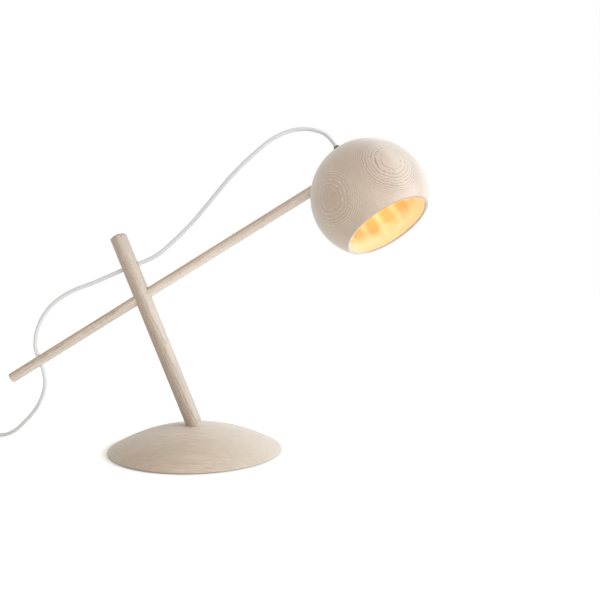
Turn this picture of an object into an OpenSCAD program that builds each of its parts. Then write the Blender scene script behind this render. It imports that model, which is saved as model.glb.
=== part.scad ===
// Table lamp in pale oak. A turned dome carries a leaning post. A thin arm slides
// through a hole in the post and ends in a hollow ball, which turns about the arm.
// The cord runs from the top of the ball through the post and the arm's tail to the
// table, where the rest of it lies coiled with its switch and plug.
// Millimetres, +Z up, origin on the table under the middle of the dome.
// The arm points to +X, and the post and the arm lie in the XZ plane.

/* [Base] */
// Diameter of the dome
base_d = 209; // [190:1:240]
// Height of the dome's crown above the table
base_h = 31; // [29:0.5:38]
// Radius of the dome's rounded edge
base_edge_r = 0.75; // [0.5:0.25:3]
// Thickness of the felt under the dome
felt_t = 1; // [0.75:0.25:3]
// Diameter of the felt
felt_d = 196; // [180:1:200]
// Outer diameter of the steel ballast ring
weight_od = 140; // [120:1:146]
// Inner diameter of the steel ballast ring
weight_id = 52; // [50:1:60]
// Thickness of the steel ballast ring
weight_t = 12; // [8:0.5:13]

/* [Post] */
// Diameter of the post
post_d = 20; // [18:0.5:24]
// Length of the post above the dome, up to its domed end
post_len = 245; // [230:1:270]
// Lean of the post from the vertical, in degrees
post_lean = 21.2; // [16:0.1:26]
// Depth of the post's socket in the dome
post_socket = 16; // [12:0.5:17]
// Height of the post's domed end
post_crown = 3; // [1:0.25:6]
// Diameter of the cord's hole through the post
post_cord_hole_d = 7.5; // [6:0.25:9]
// Place of the cord's hole along the post, from the dome
post_cord_at = 206; // [190:1:220]

/* [Arm] */
// Diameter of the arm
arm_d = 12; // [11:0.25:13.5]
// Slope of the arm above the table, in degrees
arm_elev = 31.8; // [26:0.1:38]
// Place of the arm along the post, from the dome
arm_at = 168; // [150:1:180]
// Length of the arm behind the post, up to its domed end
arm_tail = 188; // [175:1:210]
// Height of the arm's domed end
arm_crown = 1.5; // [0.5:0.25:4]
// Diameter of the cord's hole through the arm
arm_cord_hole_d = 6.6; // [5.8:0.1:7.5]
// Place of the cord's hole along the arm, behind the post
arm_cord_at = 147.5; // [130:0.5:165]
// Tilt of the cord's hole from square to the arm, in degrees
arm_cord_tilt = 10; // [0:1:15]

/* [Shade] */
// Diameter of the ball
ball_d = 137; // [130:1:150]
// Distance from the post to the middle of the ball, along the arm
shade_at = 291; // [270:1:310]
// Distance from the middle of the ball up to the arm
arm_off = 46; // [43:0.5:49]
// Gap between the arm's end and the ball's own axis
arm_end_gap = 16; // [15:0.5:20]
// Turn of the ball about the arm as it stands, in degrees
shade_roll = 25.5; // [0:0.5:40]
// Distance from the middle of the ball down to its mouth
mouth_z = 43.5; // [40:0.5:48]
// Width of the flat rim round the mouth
rim_w = 3.2; // [2.5:0.1:5]
// Chamfer on both edges of the rim
rim_chamfer = 0.5; // [0.2:0.1:1]
// Distance of the hollow's middle below the ball's middle
cavity_drop = 10; // [8:0.5:14]
// Wood between the hollow's ceiling and the arm
ceiling_wall = 12; // [10:0.5:14]
// Wood above the lamp holder
crown_t = 20; // [17:0.5:22]
// Thickness of the gold reflector
liner_t = 0.8; // [0.5:0.1:1.2]

/* [Lamp holder and bulb] */
// Diameter of the holder's body
holder_d = 24; // [22:0.5:25]
// Diameter of the holder's flange
holder_flange_d = 40; // [38:0.5:44]
// Thickness of the holder's flange
holder_flange_t = 3; // [2:0.25:4]
// Length of the holder's nose below its flange
holder_nose = 4; // [3:0.25:6]
// Diameter of the bulb's glass
bulb_d = 14; // [12:0.5:16]
// Length of the bulb's glass
bulb_len = 28; // [24:1:34]
// Wall of the bulb's glass
bulb_wall = 0.9; // [0.6:0.1:1.2]
// Distance between the bulb's two pins
bulb_pin_gap = 9; // [8:0.5:9.5]
// Diameter of the gland's head on top of the ball
gland_d = 8.6; // [8:0.1:10]
// Height of the gland's head
gland_h = 10; // [8:0.5:13]

/* [Cord] */
// Diameter of the textile cord
cord_d = 4.8; // [4.4:0.1:5]
// Turns of the coil, in two layers
coil_turns = 5.5; // [3.5:1:7.5]
// Radius of the coil's innermost turn
coil_inner_r = 20; // [19:0.5:24]
// Distance between neighbouring turns
coil_pitch = 5.4; // [5.3:0.1:6.5]
// Thickness of the tie round the coil
tie_t = 1; // [0.8:0.1:1.6]
// Width of the tie
tie_w = 10; // [8:0.5:14]

/* [Switch] */
// Length of the switch housing, along the cord
switch_len = 62; // [56:1:70]
// Width of the switch housing
switch_w = 28; // [26:0.5:32]
// Height of the switch housing
switch_h = 17; // [16:0.5:20]
// Wall of the switch housing
switch_wall = 2; // [1.6:0.1:2.4]
// Width of the rocker
rocker_w = 10; // [8:0.25:10.5]
// Length of the rocker
rocker_len = 18.6; // [16:0.2:20]
// Tilt of the rocker to either side, in degrees
rocker_tilt = 8; // [5:0.5:9]
// Length of the tapered sleeve at each end
relief_len = 20; // [20:1:26]

/* [Plug] */
// Width of the plug's body
plug_w = 35; // [33:0.5:38]
// Length of the plug's body
plug_len = 36; // [32:0.5:42]
// Thickness of the plug's body
plug_t = 13.7; // [12:0.1:15]
// Diameter of the plug's pins
plug_pin_d = 4; // [3.8:0.1:4.8]
// Length of the plug's pins
plug_pin_len = 19; // [17:0.5:20]
// Distance between the plug's pins
plug_pin_gap = 18.6; // [17:0.1:19.2]
// Length of the plug's tapered sleeve
plug_relief_len = 30; // [24:1:40]

/* [Fits] */
// Radial clearance of parts that turn or slide on each other
run = 0.05; // [0.02:0.01:0.1]
// Radial clearance of pressed, glued and screwed parts
seat = 0.1; // [0.05:0.01:0.2]
// Space between parts that pass without touching
gap = 0.3; // [0.2:0.05:0.4]

/* [Hidden] */
$fn = 72;
// How far a cut runs past the face that it opens
cut = 1;

// Colours
OAK = [0.82, 0.74, 0.66];
STEEL = [0.62, 0.63, 0.65];
BRASS = [0.78, 0.62, 0.32];
BRONZE = [0.30, 0.26, 0.19];
FELT = [0.32, 0.31, 0.30];
RUBBER = [0.10, 0.10, 0.10];
GOLD = [0.93, 0.68, 0.27];
CERAMIC = [0.93, 0.91, 0.87];
GLASS = [1.0, 0.93, 0.78, 0.6];
TEXTILE = [0.86, 0.86, 0.85];
WHITE_PLASTIC = [0.90, 0.90, 0.89];
GREY_PLASTIC = [0.66, 0.66, 0.66];

// Dome: a sphere that runs tangent into the round of the edge
edge_x = base_d / 2 - base_edge_r;
edge_z = felt_t + base_edge_r;
edge_drop = base_h - edge_z;
dome_r = (edge_x ^ 2 + edge_drop ^ 2 - base_edge_r ^ 2) / (2 * (edge_drop - base_edge_r));
dome_tangent_x = edge_x * dome_r / (dome_r - base_edge_r);
groove_top = felt_t + weight_t + gap;
weight_bottom = felt_t + gap;
weight_screw_d = 5;
weight_screw_head_d = 9;
weight_screw_head_h = 3;
weight_screw_bite = 7;
weight_screw_r = (weight_od + weight_id) / 4;
weight_screw_count = 3;
weight_screw_turn = 60;

// Fixing of the post: bolt from below into a threaded insert
post_web = 5;
bolt_d = 6;
bolt_head_d = 10;
bolt_head_h = 4;
bolt_key = 5;
bolt_key_depth = 2.4;
bolt_bite = 12;
insert_d = 10;
insert_len = 14;
washer_d = 14;
washer_t = 1.5;
washer_z = -post_socket - post_web - washer_t;

// Rubber rings that grip the arm inside the post
grip_ring_t = 1.6;
grip_ring_r = arm_d / 2 + run + grip_ring_t / 2;
grip_ring_step = 2.8;

// Pivot of the ball on the arm: a ring for friction and a groove for the screw
arm_front = shade_at - arm_end_gap;
pivot_ring_t = 1.9;
pivot_ring_r = arm_d / 2 - pivot_ring_t / 2;
pivot_ring_back = 6;
keep_groove_back = 20;
keep_groove_depth = 1.6;
keep_screw_d = 5;
keep_tip_d = 3.6;
keep_screw_inset = 1;
keep_groove_w = keep_tip_d + 2 * gap;

// Ball and hollow, in the ball's own frame
ball_r = ball_d / 2;
mouth_r = sqrt(ball_r ^ 2 - mouth_z ^ 2);
mouth_inner_r = mouth_r - rim_w;
cavity_r = sqrt(mouth_inner_r ^ 2 + (mouth_z - cavity_drop) ^ 2);
ceiling_z = arm_off - arm_d / 2 - ceiling_wall;
recess_top = ball_r - crown_t;
recess_d = holder_d + 2 * gap;
liner_r = cavity_r - gap;
liner_setback = 1;
pole_seat = ball_r - gap;
gland_stem_d = 8;
gland_taper = 0.7;
gland_top_d = gland_d - 2 * gland_taper;
gland_bore_d = cord_d + 2 * gap;
core_rise = 1.8;
nut_w = 13;
nut_h = 4;

// Holder and bulb, downwards from the ceiling
flange_top = ceiling_z - liner_t;
flange_bottom = flange_top - holder_flange_t;
nose_bottom = flange_bottom - holder_nose;
nose_d = 18;
nut_space = 1.2;
holder_top = recess_top - nut_h - nut_space;
holder_screw_d = 3;
holder_screw_head_d = 6;
holder_screw_head_h = 2;
holder_screw_bite = 12;
flange_margin = 1;
holder_screw_r = holder_flange_d / 2 - holder_screw_head_d / 2 - flange_margin;
bulb_base_d = 12;
bulb_base_h = 6;
bulb_pin_d = 2;
bulb_pin_len = 7;
bulb_base_bottom = nose_bottom - bulb_base_h;
contact_d = 4.2;
contact_len = 5;
contact_inset = 1.5;
contact_bottom = nose_bottom + contact_inset;
filament_d = 1.6;
filament_len = 18;
filament_lift = 4;

// Cord: its way from the gland to the switch, through points chosen by hand
cord_sides = 10;
route_steps = 2;
route = [
    // out of the gland and over the top of its arch
    [175.1, 10.4, 359.4], [171.1, 14, 365.9], [165.8, 18.6, 374.4], [158, 22, 381.8],
    [146, 24, 386.6], [132, 25, 388], [117, 25, 386], [102, 24, 380],
    // down to the post and through it
    [67.5, 20, 353.5], [44.5, 16, 330.5], [22, 12, 303.5], [-1, 8, 276],
    [-23, 4, 254], [-44, 1, 236.5], [-65.2, 0, 226.7], [-83.8, 0, 219.4],
    // round to the arm's tail and through it
    [-116, 0, 205.5], [-151, 0, 191], [-169, 0, 178], [-183, 0, 159.5],
    [-190, 0, 139], [-190.8, 0, 126], [-188.4, 0, 115.7], [-183.8, 0, 104.1],
    // down to the table and round into the switch
    [-181.2, 0.5, 92], [-182, 4, 78.5], [-188, 10.5, 62.5], [-200.5, 22, 44],
    [-216, 33.5, 28], [-234, 46, 12.5], [-249, 56, 5], [-264, 65, 2.6],
    [-279, 70, 2.6], [-292, 66, 2.6], [-300.5, 56, 2.8], [-303, 43, 4.4],
    [-303, 31, 6.9], [-303, 21, 7.5], [-303, 13, 7.5]
];
arch_point = 7;
post_point = 15;
arm_point = 23;
coil_route = [[-303, -70, 7.5], [-303, -84, 7.2], [-303, -97, 4.8], [-303.15, -107.2, 3.6]];
plug_route = [[-372.85, -107.2, 9], [-373, -97, 8.4], [-373, -84, 6.95], [-373, -70, 6.85]];

// Coil: spirals in on the table and out again on top of itself
coil_rings = 24;
coil_sides = 6;
coil_x = -338;
coil_y = -112;
tie_play = 0.2;
coil_lift = tie_t + tie_play;
coil_middle = coil_turns / 2;

// Tie: round all turns where the two layers lie exactly above each other
tie_turn = coil_middle - 0.5;
tie_share = tie_w / 2 / (2 * PI * coil_inner_r);
tie_inner_edge = coil_r(tie_turn + tie_share) - cord_d / 2;
tie_inner_r = sqrt(tie_inner_edge ^ 2 - (tie_w / 2) ^ 2) - gap;
tie_outer_r = coil_r(tie_turn % 1 - tie_share) + cord_d / 2 + gap;
tie_top = coil_lift + cord_d + coil_pitch + gap;
tie_corner = 1.5;

// Switch: on the cord, along Y
switch_x = -303;
switch_y = -29;
switch_split = 7.5;
switch_corner = 10;
crown_r = switch_h;
pivot_drop = 5.5;
pivot_z = switch_h - pivot_drop;
rocker_pin_d = 2;
window_side = 0.5;
window_end = 1.2;
window_w = rocker_w + 2 * window_side;
window_len = rocker_len + 2 * window_end;
cheek_w = 2;
cheek_len = 8;
cheek_x = window_w / 2 + cheek_w / 2;
switch_screw_d = 2.6;
switch_screw_head_d = 5;
switch_screw_head_h = 1.6;
switch_boss_d = 7.4;
switch_boss_sink = 0.5;
switch_screw_x = switch_w / 2 - switch_wall - switch_boss_d / 2 + switch_boss_sink;
switch_screw_y = switch_len / 2 - switch_corner;
relief_d = 8;
relief_tip_wall = 0.8;
relief_tip_d = cord_d + 2 * relief_tip_wall;
relief_bore_d = cord_d + 2 * gap;
terminal_w = 8;
terminal_len = 10;
terminal_h = 4.5;
terminal_y = 17;

// Plug: flat on the table, along Y, pins ahead
plug_x = -373;
plug_y = -80;
plug_corner = 4;
plug_neck_w = 14;
plug_shoulder = 14.4;
plug_relief_d = 9;
plug_root_step = 0.5;
plug_root_d = plug_pin_d + 2 * plug_root_step;
plug_root_len = 16;
plug_grip_d = 2.4;
plug_grip_step = 3.2;
plug_grip_count = 4;

// Frame of the post: +Z along the post, from the crown of the dome
module in_post() {
    translate([0, 0, base_h]) rotate([0, -post_lean, 0]) children();
}

// Frame of the arm: +Z along the arm towards the ball, from the middle of the post
module in_arm() {
    in_post() translate([0, 0, arm_at]) rotate([0, 90 - arm_elev + post_lean, 0]) children();
}

// Frame of the ball: +Z to its top, +X along the arm, from the ball's middle
module in_shade() {
    in_arm() translate([0, 0, shade_at]) rotate([0, 0, -shade_roll]) rotate([0, -90, 0])
        translate([0, 0, -arm_off]) children();
}

module in_switch() {
    translate([switch_x, switch_y, 0]) children();
}

module in_plug() {
    translate([plug_x, plug_y, plug_t / 2]) rotate([-90, 0, 0]) children();
}

// Round rod along Z whose far end is domed
module turned_rod(d, len, crown) {
    end_r = (d ^ 2 / 4 + crown ^ 2) / (2 * crown);
    rotate_extrude() {
        square([d / 2, len]);
        translate([0, len]) intersection() {
            translate([0, crown - end_r]) circle(end_r);
            square([d / 2, crown]);
        }
    }
}

// Ring of round section in the XY plane
module ring(middle_r, section_d) {
    rotate_extrude() translate([middle_r, 0]) circle(d = section_d);
}

// Hollow cylinder along Z
module pipe(outer_d, inner_d, len) {
    difference() {
        cylinder(d = outer_d, h = len);
        translate([0, 0, -cut]) cylinder(d = inner_d, h = len + 2 * cut);
    }
}

// Convex outline whose corners are arcs round the given points, listed anticlockwise
module rounded_outline(points, r) {
    count = len(points);
    polygon(points);
    for (i = [0 : count - 1]) {
        from = points[i];
        to = points[(i + 1) % count];
        along = (to - from) / norm(to - from);
        out = r * [along[1], -along[0]];
        polygon([from, from + out, to + out, to]);
        translate(from) circle(r);
    }
}

module rounded_rectangle(w, len, r) {
    x = w / 2 - r;
    y = len / 2 - r;
    rounded_outline([[-x, -y], [x, -y], [x, y], [-x, y]], r);
}

// Cord: one tube swept along a list of points
function unit(v) = v / norm(v);

function spline(a, b, c, d, t) =
    0.5 * (2 * b + (c - a) * t + (2 * a - 5 * b + 4 * c - d) * t ^ 2
        + (3 * b - a - 3 * c + d) * t ^ 3);

function smooth(p) = [
    for (i = [0 : len(p) - 2])
        for (k = [0 : route_steps - 1])
            spline(p[max(i - 1, 0)], p[i], p[i + 1], p[min(i + 2, len(p) - 1)], k / route_steps),
    p[len(p) - 1]
];

function tangents(p) = [
    for (i = [0 : len(p) - 1]) unit(p[min(i + 1, len(p) - 1)] - p[max(i - 1, 0)])
];

function square_to(v, t) = unit(v - (v * t) * t);

function normals(t, start) = [
    for (i = 0, n = square_to(start, t[0]); i < len(t);
        i = i + 1, n = i < len(t) ? square_to(n, t[i]) : n) n
];

function slice(list, first, last) = [for (i = [first : last]) list[i]];

// Closed tube through points p, with tangents t and normals n
module swept_tube(p, t, n, d, sides) {
    rings = len(p);
    skin = [
        for (i = [0 : rings - 1])
            for (angle = [0 : 360 / sides : 359])
                p[i] + d / 2 * (cos(angle) * n[i] + sin(angle) * cross(t[i], n[i]))
    ];
    last = (rings - 1) * sides;
    walls = [
        for (i = [0 : rings - 2])
            for (k = [0 : sides - 1])
                let (a = i * sides + k, b = i * sides + (k + 1) % sides)
                    for (face = [[a, a + sides, b], [b, a + sides, b + sides]]) face
    ];
    caps = [
        for (k = [1 : sides - 2])
            for (face = [[0, k, k + 1], [last, last + k + 1, last + k]]) face
    ];
    polyhedron(skin, concat(walls, caps), convexity = 10);
}

module tube(p, d, sides) {
    t = tangents(p);
    swept_tube(p, t, normals(t, [0, 0, 1]), d, sides);
}

cord_path = smooth(route);
cord_tangents = tangents(cord_path);
cord_normals = normals(cord_tangents, [0, 1, 0]);

// Stretch of the cord between two points of its route
module cord_stretch(from_point, to_point) {
    a = from_point * route_steps;
    b = to_point * route_steps;
    color(TEXTILE) swept_tube(slice(cord_path, a, b), slice(cord_tangents, a, b),
        slice(cord_normals, a, b), cord_d, cord_sides);
}

// Coil: turn t lies at radius coil_r and height coil_z
function coil_r(t) = coil_inner_r + coil_pitch * abs(t - coil_middle);

function coil_climb(t) = min(max(2 * (t - coil_middle) + 0.5, 0), 1);

function coil_z(t) = coil_lift + cord_d / 2 + coil_pitch * coil_climb(t);

function coil_point(t) = [
    coil_x + coil_r(t) * cos(360 * t), coil_y - coil_r(t) * sin(360 * t), coil_z(t)
];

coil_path = concat(
    [coil_point(0) + [0, cord_d, 0]],
    [for (i = [0 : coil_rings * coil_turns]) coil_point(i / coil_rings)],
    [coil_point(coil_turns) + [0, cord_d, 0]]
);

coil_gap = min([
    for (i = [0 : len(coil_path) - 1])
        for (j = [i + coil_rings / 2 : len(coil_path) - 1]) norm(coil_path[i] - coil_path[j])
]) - cord_d;
echo(coil_least_gap = coil_gap);

// Base
module dome_profile() {
    intersection() {
        translate([0, base_h - dome_r]) circle(dome_r, $fn = 360);
        translate([0, edge_z]) square([dome_tangent_x, edge_drop]);
    }
    translate([edge_x, edge_z]) circle(base_edge_r);
    translate([0, felt_t]) square([edge_x, base_edge_r]);
}

module at_weight_screws() {
    for (i = [0 : weight_screw_count - 1])
        rotate([0, 0, weight_screw_turn + i * 360 / weight_screw_count])
            translate([weight_screw_r, 0, 0]) children();
}

module weight_screw(extra) {
    translate([0, 0, weight_bottom])
        cylinder(d1 = weight_screw_head_d + 2 * extra, d2 = weight_screw_d + 2 * extra,
            h = weight_screw_head_h);
    translate([0, 0, weight_bottom + weight_screw_head_h])
        cylinder(d = weight_screw_d + 2 * extra,
            h = groove_top + weight_screw_bite - weight_bottom - weight_screw_head_h + extra);
}

module base_dome() {
    color(OAK) difference() {
        rotate_extrude() dome_profile();
        translate([0, 0, felt_t - cut]) difference() {
            cylinder(d = weight_od + 2 * gap, h = weight_t + gap + cut);
            cylinder(d = weight_id - 2 * gap, h = weight_t + gap + cut);
        }
        at_weight_screws() weight_screw(seat);
        in_post() {
            translate([0, 0, -post_socket])
                cylinder(d = post_d + 2 * seat, h = 2 * post_socket);
            translate([0, 0, -post_socket - 2 * post_web])
                cylinder(d = bolt_d + 2 * seat, h = 3 * post_web);
            translate([0, 0, -post_socket - post_web - base_h])
                cylinder(d = washer_d + 2 * gap, h = base_h);
        }
    }
}

module base_weight() {
    color(STEEL) difference() {
        translate([0, 0, weight_bottom]) pipe(weight_od, weight_id, weight_t);
        at_weight_screws() weight_screw(seat);
    }
}

module weight_screws() {
    color(STEEL) at_weight_screws() weight_screw(0);
}

module base_felt() {
    color(FELT) cylinder(d = felt_d, h = felt_t);
}

// Post
module post() {
    color(OAK) difference() {
        in_post() translate([0, 0, -post_socket])
            turned_rod(post_d, post_socket + post_len, post_crown);
        in_arm() {
            cylinder(d = arm_d + 2 * gap, h = 3 * post_d, center = true);
            for (side = [-1, 1])
                translate([0, 0, side * grip_ring_step])
                    cylinder(d = 2 * grip_ring_r + grip_ring_t + 2 * seat, h = grip_ring_t + 2 * seat,
                        center = true);
        }
        in_post() {
            translate([0, 0, post_cord_at]) rotate([0, 90, 0])
                cylinder(d = post_cord_hole_d, h = 2 * post_d, center = true);
            translate([0, 0, -post_socket - cut])
                cylinder(d = insert_d + 2 * seat, h = insert_len + gap + cut);
        }
    }
}

module post_insert() {
    color(BRASS) in_post() translate([0, 0, -post_socket])
        pipe(insert_d, bolt_d + 2 * seat, insert_len);
}

module post_washer() {
    color(STEEL) in_post() translate([0, 0, washer_z])
        pipe(washer_d, bolt_d + 2 * seat, washer_t);
}

module post_bolt() {
    color(STEEL) in_post() difference() {
        union() {
            translate([0, 0, washer_z]) cylinder(d = bolt_d, h = bolt_bite - post_socket - washer_z);
            translate([0, 0, washer_z - bolt_head_h]) cylinder(d = bolt_head_d, h = bolt_head_h);
        }
        translate([0, 0, washer_z - bolt_head_h - cut])
            cylinder(d = bolt_key / cos(30), h = bolt_key_depth + cut, $fn = 6);
    }
}

module grip_rings() {
    color(RUBBER) in_arm() for (side = [-1, 1])
        translate([0, 0, side * grip_ring_step]) ring(grip_ring_r, grip_ring_t);
}

// Arm
module arm() {
    color(OAK) in_arm() difference() {
        translate([0, 0, arm_front]) mirror([0, 0, 1])
            turned_rod(arm_d, arm_front + arm_tail, arm_crown);
        translate([0, 0, -arm_cord_at]) rotate([0, 90 + arm_cord_tilt, 0])
            cylinder(d = arm_cord_hole_d, h = 3 * arm_d, center = true);
        translate([0, 0, arm_front - pivot_ring_back])
            pipe(2 * arm_d, arm_d - 2 * pivot_ring_t, pivot_ring_t + 2 * seat);
        translate([0, 0, arm_front - keep_groove_back - keep_groove_w / 2])
            pipe(2 * arm_d, arm_d - 2 * keep_groove_depth, keep_groove_w);
    }
}

module pivot_ring() {
    color(RUBBER) in_arm() translate([0, 0, arm_front - pivot_ring_back + seat + pivot_ring_t / 2])
        ring(pivot_ring_r, pivot_ring_t);
}

// Shade
module mouth_chamfers() {
    translate([0, 0, -mouth_z]) rotate_extrude() for (edge = [mouth_inner_r, mouth_r])
        translate([edge, 0]) rotate(45) square(sqrt(2) * rim_chamfer, center = true);
}

module at_holder_screws() {
    for (side = [-1, 1]) translate([0, side * holder_screw_r, 0]) children();
}

module at_bulb_pins() {
    for (side = [-1, 1]) translate([side * bulb_pin_gap / 2, 0, 0]) children();
}

module keep_screw() {
    tip_z = arm_off - arm_d / 2 + keep_groove_depth - gap;
    shoulder_z = arm_off - arm_d / 2 - gap - run;
    translate([-arm_end_gap - keep_groove_back, 0, 0]) {
        translate([0, 0, ceiling_z + keep_screw_inset])
            cylinder(d = keep_screw_d, h = shoulder_z - ceiling_z - keep_screw_inset);
        translate([0, 0, shoulder_z]) cylinder(d = keep_tip_d, h = tip_z - shoulder_z);
    }
}

module shade_shell() {
    color(OAK) in_shade() difference() {
        intersection() {
            sphere(d = ball_d);
            translate([0, 0, -mouth_z]) cylinder(d = 2 * ball_d, h = 2 * ball_d);
        }
        intersection() {
            translate([0, 0, -cavity_drop]) sphere(r = cavity_r);
            translate([0, 0, ceiling_z - ball_d]) cylinder(d = ball_d, h = ball_d);
        }
        mouth_chamfers();
        cylinder(d = recess_d, h = recess_top);
        cylinder(d = gland_stem_d + 2 * seat, h = ball_d);
        translate([0, 0, pole_seat]) cylinder(d = gland_d + 2 * seat, h = ball_d);
        translate([gap - arm_end_gap, 0, arm_off]) rotate([0, -90, 0])
            cylinder(d = arm_d + 2 * run, h = ball_d);
        translate([-arm_end_gap - keep_groove_back, 0, 0])
            cylinder(d = keep_screw_d + 2 * seat, h = arm_off);
        at_holder_screws()
            cylinder(d = holder_screw_d + 2 * seat, h = ceiling_z + holder_screw_bite + seat);
    }
}

module retaining_screw() {
    color(STEEL) in_shade() keep_screw();
}

module reflector_profile() {
    intersection() {
        difference() {
            translate([0, -cavity_drop]) circle(liner_r, $fn = 180);
            intersection() {
                translate([0, -cavity_drop]) circle(liner_r - liner_t, $fn = 180);
                translate([-ball_d, -ball_d]) square([2 * ball_d, ball_d + flange_top]);
            }
        }
        translate([recess_d / 2, liner_setback - mouth_z])
            square([ball_d, mouth_z - liner_setback + ceiling_z]);
    }
}

module reflector() {
    color(GOLD) in_shade() difference() {
        rotate_extrude() reflector_profile();
        at_holder_screws() cylinder(d = holder_screw_d + 2 * seat, h = ball_d);
        translate([-arm_end_gap - keep_groove_back, 0, 0])
            cylinder(d = keep_screw_d + 2 * seat, h = arm_off);
    }
}

module lamp_holder() {
    color(CERAMIC) in_shade() difference() {
        union() {
            translate([0, 0, flange_top]) cylinder(d = holder_d, h = holder_top - flange_top);
            translate([0, 0, flange_bottom]) cylinder(d = holder_flange_d, h = holder_flange_t);
            translate([0, 0, nose_bottom]) cylinder(d = nose_d, h = holder_nose);
        }
        at_bulb_pins() {
            translate([0, 0, nose_bottom - cut])
                cylinder(d = bulb_pin_d + 2 * gap, h = bulb_pin_len + gap + cut);
            translate([0, 0, contact_bottom]) cylinder(d = contact_d + 2 * seat, h = contact_len);
        }
        at_holder_screws() cylinder(d = holder_screw_d + 2 * seat, h = ball_d);
    }
}

module holder_contacts() {
    color(BRASS) in_shade() at_bulb_pins() translate([0, 0, contact_bottom])
        pipe(contact_d, bulb_pin_d + 2 * seat, contact_len);
}

module holder_screws() {
    color(STEEL) in_shade() at_holder_screws() {
        translate([0, 0, flange_bottom - holder_screw_head_h])
            cylinder(d = holder_screw_head_d, h = holder_screw_head_h);
        translate([0, 0, flange_bottom])
            cylinder(d = holder_screw_d, h = ceiling_z + holder_screw_bite - flange_bottom);
    }
}

module gland_nut() {
    color(BRASS) in_shade() translate([0, 0, recess_top - nut_h]) difference() {
        cylinder(d = nut_w / cos(30), h = nut_h, $fn = 6);
        translate([0, 0, -cut]) cylinder(d = gland_stem_d + 2 * seat, h = nut_h + 2 * cut);
    }
}

module cord_gland() {
    color(BRONZE) in_shade() difference() {
        union() {
            translate([0, 0, recess_top - nut_h])
                cylinder(d = gland_stem_d, h = pole_seat - recess_top + nut_h);
            translate([0, 0, pole_seat]) cylinder(d = gland_d, h = gland_h / 2);
            translate([0, 0, pole_seat + gland_h / 2])
                cylinder(d1 = gland_d, d2 = gland_top_d, h = gland_h / 2);
        }
        cylinder(d = gland_bore_d, h = 2 * ball_d);
    }
}

module cord_core() {
    color(TEXTILE) in_shade() translate([0, 0, holder_top])
        cylinder(d = cord_d, h = pole_seat + core_rise - holder_top);
}

// Bulb
module bulb_base() {
    color(CERAMIC) in_shade() translate([0, 0, bulb_base_bottom])
        cylinder(d = bulb_base_d, h = bulb_base_h);
}

module bulb_pins() {
    color(STEEL) in_shade() at_bulb_pins() translate([0, 0, nose_bottom])
        cylinder(d = bulb_pin_d, h = bulb_pin_len);
}

module capsule_profile(r, len) {
    intersection() {
        union() {
            translate([0, r - len]) circle(r);
            translate([0, r - len]) square([r, len - r]);
        }
        translate([0, -len]) square([r, len]);
    }
}

module bulb_glass() {
    color(GLASS) in_shade() translate([0, 0, bulb_base_bottom]) rotate_extrude() difference() {
        capsule_profile(bulb_d / 2, bulb_len);
        translate([0, -bulb_wall]) capsule_profile(bulb_d / 2 - bulb_wall, bulb_len - 2 * bulb_wall);
    }
}

module bulb_filament() {
    color(GOLD) in_shade() translate([0, 0, bulb_base_bottom - bulb_wall - filament_lift]) {
        translate([0, 0, -filament_len]) cylinder(d = filament_d, h = filament_len);
        cylinder(d = filament_d / 2, h = filament_lift);
    }
}

// Free stretches of the cord
module cord_at_shade() {
    cord_stretch(0, arch_point);
}

module cord_to_post() {
    cord_stretch(arch_point, post_point);
}

module cord_to_arm() {
    cord_stretch(post_point, arm_point);
}

module cord_to_table() {
    cord_stretch(arm_point, len(route) - 1);
}

module cord_to_coil() {
    color(TEXTILE) tube(smooth(coil_route), cord_d, cord_sides);
}

module cord_to_plug() {
    color(TEXTILE) tube(smooth(plug_route), cord_d, cord_sides);
}

module cord_coil() {
    color(TEXTILE) tube(coil_path, cord_d, coil_sides);
}

module cord_tie() {
    inner_w = tie_outer_r - tie_inner_r;
    color(GREY_PLASTIC) translate([coil_x, coil_y, 0]) rotate([0, 0, -360 * tie_turn])
        translate([(tie_inner_r + tie_outer_r) / 2, 0, (tie_top + tie_t) / 2]) rotate([90, 0, 0])
            linear_extrude(tie_w, center = true) difference() {
                rounded_rectangle(inner_w + 2 * tie_t, tie_top + tie_t, tie_corner + tie_t);
                rounded_rectangle(inner_w, tie_top - tie_t, tie_corner);
            }
}

// Switch
module switch_outline(inset) {
    rounded_rectangle(switch_w - 2 * inset, switch_len - 2 * inset, switch_corner - inset);
}

module switch_crown(inset) {
    translate([0, 0, switch_h - crown_r]) rotate([90, 0, 0])
        cylinder(r = crown_r - inset, h = switch_len, center = true);
}

module at_switch_screws() {
    for (side = [-1, 1]) translate([side * switch_screw_x, side * switch_screw_y, 0]) children();
}

module switch_cord_holes() {
    translate([0, 0, switch_split]) rotate([90, 0, 0])
        cylinder(d = relief_bore_d, h = 2 * switch_len, center = true);
}

module switch_lower() {
    color(WHITE_PLASTIC) in_switch() difference() {
        union() {
            difference() {
                linear_extrude(switch_split) switch_outline(0);
                translate([0, 0, switch_wall]) linear_extrude(switch_split) switch_outline(switch_wall);
            }
            intersection() {
                linear_extrude(switch_split) switch_outline(0);
                at_switch_screws() cylinder(d = switch_boss_d, h = switch_split);
            }
        }
        switch_cord_holes();
        at_switch_screws() {
            translate([0, 0, -cut]) cylinder(d = switch_screw_d + 2 * seat, h = switch_split + 2 * cut);
            translate([0, 0, -cut])
                cylinder(d = switch_screw_head_d + 2 * gap, h = switch_screw_head_h + gap + cut);
        }
    }
}

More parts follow.
